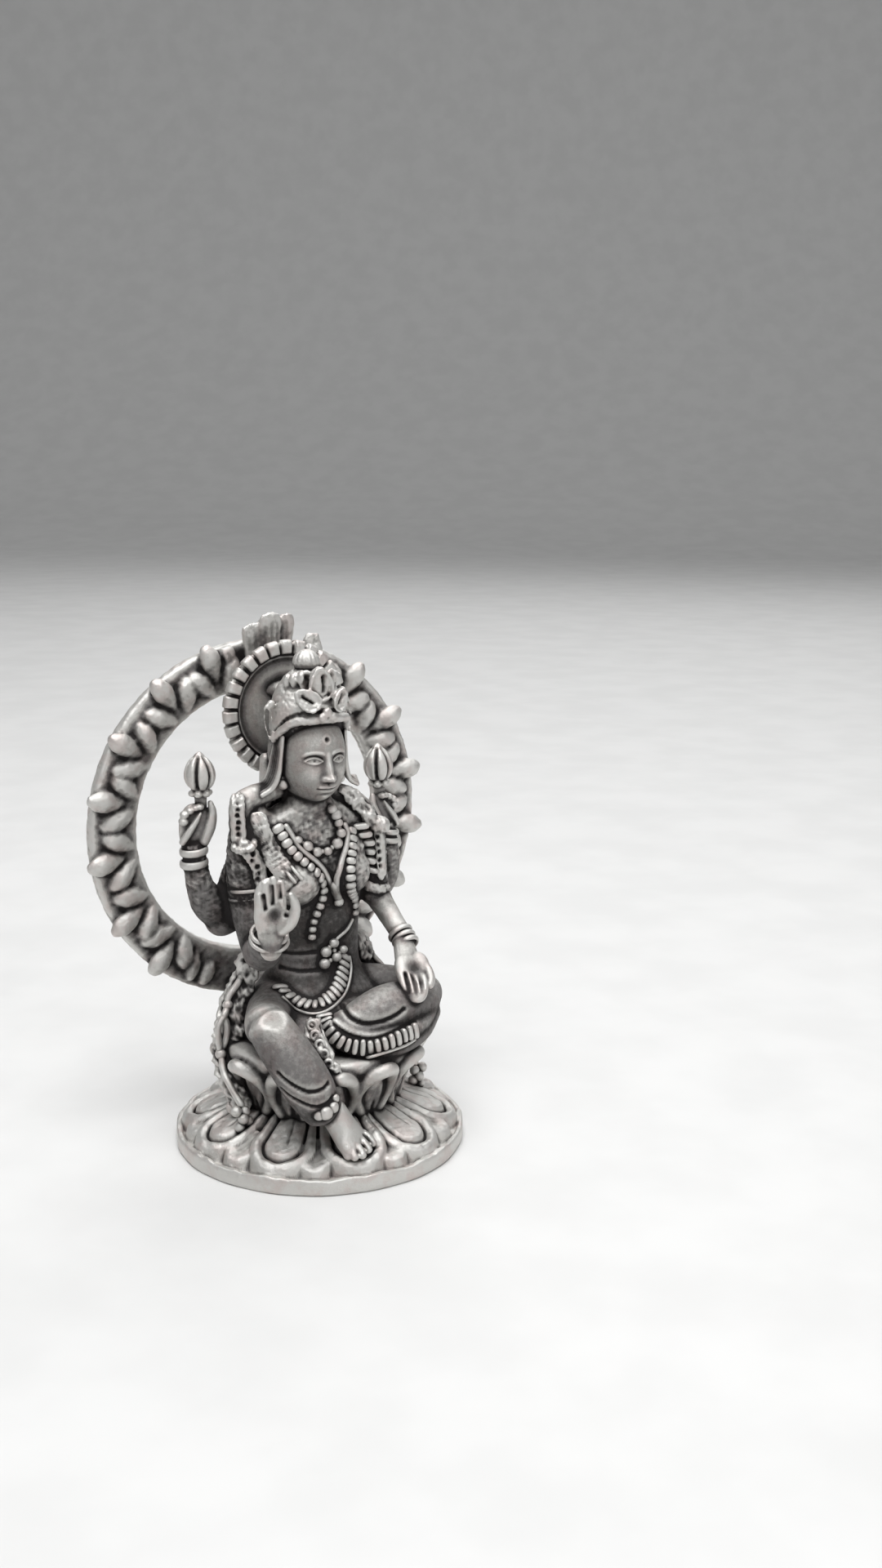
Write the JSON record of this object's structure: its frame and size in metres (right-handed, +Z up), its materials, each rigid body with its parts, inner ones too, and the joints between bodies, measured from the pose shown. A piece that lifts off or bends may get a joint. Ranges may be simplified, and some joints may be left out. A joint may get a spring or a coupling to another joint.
{
  "type": "lakshmi figure",
  "caption": "Small cast silver goddess seated on a double lotus, one foot down, with raised arms, a halo and a petalled ring behind.",
  "frame": {"origin": "centre of the round underside, on the surface that the figure stands on", "axes": "+Z up; the figure faces -Y, so its right hand is towards -X and the ring stands at +Y"},
  "size_m": [0.0468, 0.035, 0.0626],
  "materials": {
    "silver": "cast silver with an antique finish: worn high places and dark recesses"
  },
  "bodies": {
    "root": {"lakshmi_figure": "silver"}
  },
  "joints": []
}
